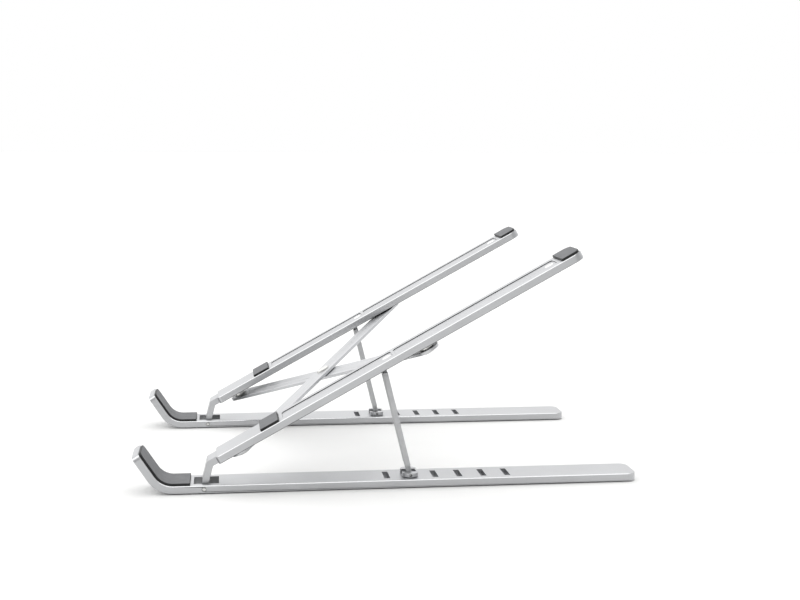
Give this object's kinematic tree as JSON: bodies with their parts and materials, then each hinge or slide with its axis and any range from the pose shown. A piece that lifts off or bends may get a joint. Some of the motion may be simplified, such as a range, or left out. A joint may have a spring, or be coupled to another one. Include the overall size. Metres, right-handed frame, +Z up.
{
  "type": "laptop stand",
  "caption": "Folding laptop stand: hooked base rails, tilting deck rails on prop legs that stand in height notches, tied by a crossed brace that closes.",
  "frame": {"origin": "centre of the footprint at desk level", "axes": "+Z up, -Y towards the hooks that hold the laptop's front edge, +X across to the right-hand side as seen from the hooks"},
  "size_m": [0.1704, 0.248, 0.1167],
  "materials": {
    "satin_aluminium": "fine blasted and clear anodised, with bright cut edges",
    "leg_aluminium": "satin anodised",
    "brace_aluminium": "light satin anodised",
    "grey_silicone": "matt grey silicone",
    "foot_rubber": "matt dark rubber",
    "steel_pin": "turned steel",
    "polished_rivet": "polished rivet head",
    "bead_blasted_zinc": "cast zinc, satin",
    "shoe_zinc": "cast zinc, satin grey",
    "nylon_washer": "natural nylon"
  },
  "bodies": {
    "right_base": {"right_base_rail": "satin_aluminium", "right_hook_pad": "grey_silicone", "right_front_foot": "foot_rubber", "right_rear_foot": "foot_rubber", "right_hinge_pin": "steel_pin"},
    "right_deck": {"right_gooseneck": "satin_aluminium", "right_neck_rivets": "steel_pin", "right_deck_rail": "satin_aluminium", "right_front_pad": "grey_silicone", "right_rear_pad": "grey_silicone", "right_leg_bracket": "bead_blasted_zinc", "right_bracket_rivet": "polished_rivet", "right_leg_pin": "steel_pin", "right_track_plug": "polished_rivet", "right_brace_stud": "steel_pin"},
    "right_leg": {"right_leg": "leg_aluminium"},
    "right_shoe": {"right_foot_shoe": "shoe_zinc", "right_shoe_pin": "polished_rivet"},
    "upper_bar": {"upper_brace_bar": "brace_aluminium", "left_slider": "steel_pin"},
    "lower_bar": {"lower_brace_bar": "brace_aluminium", "cross_rivet": "polished_rivet", "cross_washer": "nylon_washer", "right_slider": "steel_pin"},
    "left_deck": {"left_gooseneck": "satin_aluminium", "left_neck_rivets": "steel_pin", "left_deck_rail": "satin_aluminium", "left_front_pad": "grey_silicone", "left_rear_pad": "grey_silicone", "left_leg_bracket": "bead_blasted_zinc", "left_bracket_rivet": "polished_rivet", "left_leg_pin": "steel_pin", "left_track_plug": "polished_rivet", "left_brace_stud": "steel_pin"},
    "left_leg": {"left_leg": "leg_aluminium"},
    "left_shoe": {"left_foot_shoe": "shoe_zinc", "left_shoe_pin": "polished_rivet"},
    "left_base": {"left_base_rail": "satin_aluminium", "left_hook_pad": "grey_silicone", "left_front_foot": "foot_rubber", "left_rear_foot": "foot_rubber", "left_hinge_pin": "steel_pin"}
  },
  "joints": [
    {"name": "deck_raise", "type": "hinge", "parent": "right_base", "child": "right_deck", "pos_m": [0.0744, -0.09, 0.0024], "axis": [1, 0, 0], "range_deg": [0, 60]},
    {"name": "side_spread", "type": "hinge", "parent": "right_deck", "child": "upper_bar", "pos_m": [0.0744, -0.07046, 0.01769], "axis": [0, 0.483, -0.8756], "range_deg": [0, 46.2]},
    {"name": "brace_cross", "type": "hinge", "parent": "upper_bar", "child": "lower_bar", "pos_m": [0, -0.02558, 0.04245], "axis": [0, 0.483, -0.8756], "range_deg": [-92.4, 0]},
    {"name": "left_deck_turn", "type": "hinge", "parent": "lower_bar", "child": "left_deck", "pos_m": [-0.0744, -0.07046, 0.01769], "axis": [0, 0.483, -0.8756], "range_deg": [0, 46.2]},
    {"name": "left_base_hinge", "type": "hinge", "parent": "left_deck", "child": "left_base", "pos_m": [-0.0744, -0.09, 0.0024], "axis": [1, 0, 0], "range_deg": [-60, 0]},
    {"name": "right_leg_fold", "type": "hinge", "parent": "right_deck", "child": "right_leg", "pos_m": [0.0744, -0.00278, 0.0596], "axis": [1, 0, 0], "range_deg": [-74.91, 0]},
    {"name": "left_leg_fold", "type": "hinge", "parent": "left_deck", "child": "left_leg", "pos_m": [-0.0744, -0.00278, 0.0596], "axis": [1, 0, 0], "range_deg": [-74.91, 0]},
    {"name": "right_shoe_tilt", "type": "hinge", "parent": "right_leg", "child": "right_shoe", "pos_m": [0.0744, 0.0105, 0.0055], "axis": [1, 0, 0], "range_deg": [-76.21, 0]},
    {"name": "left_shoe_tilt", "type": "hinge", "parent": "left_leg", "child": "left_shoe", "pos_m": [-0.0744, 0.0105, 0.0055], "axis": [1, 0, 0], "range_deg": [-76.21, 0]}
  ],
  "couplings": [
    {"joint": "brace_cross", "follows": "side_spread", "ratio": -2},
    {"joint": "left_deck_turn", "follows": "side_spread", "ratio": 1},
    {"joint": "left_base_hinge", "follows": "deck_raise", "ratio": -1},
    {"joint": "right_leg_fold", "follows": "deck_raise", "ratio": -1.2484},
    {"joint": "left_leg_fold", "follows": "deck_raise", "ratio": -1.2484},
    {"joint": "right_shoe_tilt", "follows": "deck_raise", "ratio": -1.2702},
    {"joint": "left_shoe_tilt", "follows": "deck_raise", "ratio": -1.2702}
  ]
}
